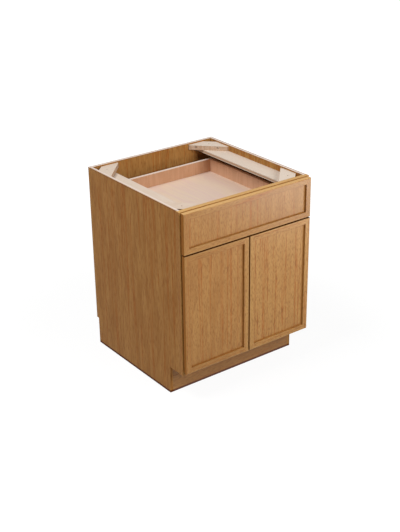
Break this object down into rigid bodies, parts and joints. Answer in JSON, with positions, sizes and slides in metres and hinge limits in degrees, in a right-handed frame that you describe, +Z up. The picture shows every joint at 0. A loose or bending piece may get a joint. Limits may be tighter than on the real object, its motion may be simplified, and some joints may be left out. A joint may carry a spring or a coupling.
{
  "type": "double door base cabinet",
  "caption": "Floor-standing wooden kitchen base cabinet with an open top, a drawer over two hinged doors, a recessed toe space and an adjustable shelf inside.",
  "frame": {"origin": "centre of the footprint on the floor: midway between the sides, and midway between the fronts' faces and the rear of the back panel", "axes": "+X to the right seen from the front, +Y from the doors to the back, +Z up"},
  "size_m": [0.6096, 0.6296, 0.7747],
  "materials": {
    "stained_oak": "warm brown stained wood under satin lacquer",
    "birch_plywood": "clear coated pale plywood with striped edges",
    "drawer_birch": "clear coated pinkish hardwood",
    "zinc_steel": "bright zinc plate",
    "clear_bumper": "cloudy clear soft plastic",
    "grey_plastic": "moulded, fine texture"
  },
  "bodies": {
    "cabinet": {"side_panel_left": "stained_oak", "side_panel_right": "stained_oak", "back_panel": "stained_oak", "bottom_panel": "stained_oak", "toe_kick_board": "stained_oak", "frame_stile_left": "stained_oak", "frame_stile_right": "stained_oak", "frame_top_rail": "stained_oak", "frame_middle_rail": "stained_oak", "frame_bottom_rail": "stained_oak", "top_ledge_left": "birch_plywood", "top_ledge_right": "birch_plywood", "corner_block_front_left": "birch_plywood", "corner_block_front_right": "birch_plywood", "corner_block_back_left": "birch_plywood", "corner_block_back_right": "birch_plywood", "block_screws": "zinc_steel", "shelf": "stained_oak", "shelf_pins": "zinc_steel", "slide_rail_left": "zinc_steel", "slide_rail_right": "zinc_steel", "slide_brackets": "zinc_steel", "slide_screws": "zinc_steel", "hinge_arms_left": "zinc_steel", "hinge_arms_right": "zinc_steel", "hinge_screws": "zinc_steel"},
    "drawer": {"drawer_side_left": "drawer_birch", "drawer_side_right": "drawer_birch", "drawer_box_front": "drawer_birch", "drawer_box_back": "drawer_birch", "drawer_bottom": "birch_plywood", "drawer_front_stile_left": "stained_oak", "drawer_front_stile_right": "stained_oak", "drawer_front_top_rail": "stained_oak", "drawer_front_bottom_rail": "stained_oak", "drawer_front_panel": "stained_oak", "drawer_front_screws": "zinc_steel", "drawer_rail_left": "zinc_steel", "drawer_rail_right": "zinc_steel", "drawer_clips": "grey_plastic"},
    "runner_left": {"slide_runner_left": "zinc_steel"},
    "runner_right": {"slide_runner_right": "zinc_steel"},
    "door_left": {"door_left_hinge_stile": "stained_oak", "door_left_free_stile": "stained_oak", "door_left_top_rail": "stained_oak", "door_left_bottom_rail": "stained_oak", "door_left_panel": "stained_oak", "door_left_bumpers": "clear_bumper", "hinge_cups_left": "zinc_steel", "hinge_pins_left": "zinc_steel"},
    "door_right": {"door_right_hinge_stile": "stained_oak", "door_right_free_stile": "stained_oak", "door_right_top_rail": "stained_oak", "door_right_bottom_rail": "stained_oak", "door_right_panel": "stained_oak", "door_right_bumpers": "clear_bumper", "hinge_cups_right": "zinc_steel", "hinge_pins_right": "zinc_steel"}
  },
  "joints": [
    {"name": "drawer_slide", "type": "slide", "parent": "cabinet", "child": "drawer", "axis": [0, -1, 0], "range_m": [0, 0.5]},
    {"name": "runner_left_slide", "type": "slide", "parent": "cabinet", "child": "runner_left", "axis": [0, -1, 0], "range_m": [0, 0.25]},
    {"name": "runner_right_slide", "type": "slide", "parent": "cabinet", "child": "runner_right", "axis": [0, -1, 0], "range_m": [0, 0.25]},
    {"name": "door_left_hinge", "type": "hinge", "parent": "cabinet", "child": "door_left", "pos_m": [-0.2936, -0.3032, 0.36785], "axis": [0, 0, -1], "range_deg": [0, 105]},
    {"name": "door_right_hinge", "type": "hinge", "parent": "cabinet", "child": "door_right", "pos_m": [0.2936, -0.3032, 0.36785], "axis": [0, 0, 1], "range_deg": [0, 105]}
  ],
  "couplings": [
    {"joint": "runner_left_slide", "follows": "drawer_slide", "ratio": 0.5},
    {"joint": "runner_right_slide", "follows": "drawer_slide", "ratio": 0.5}
  ]
}
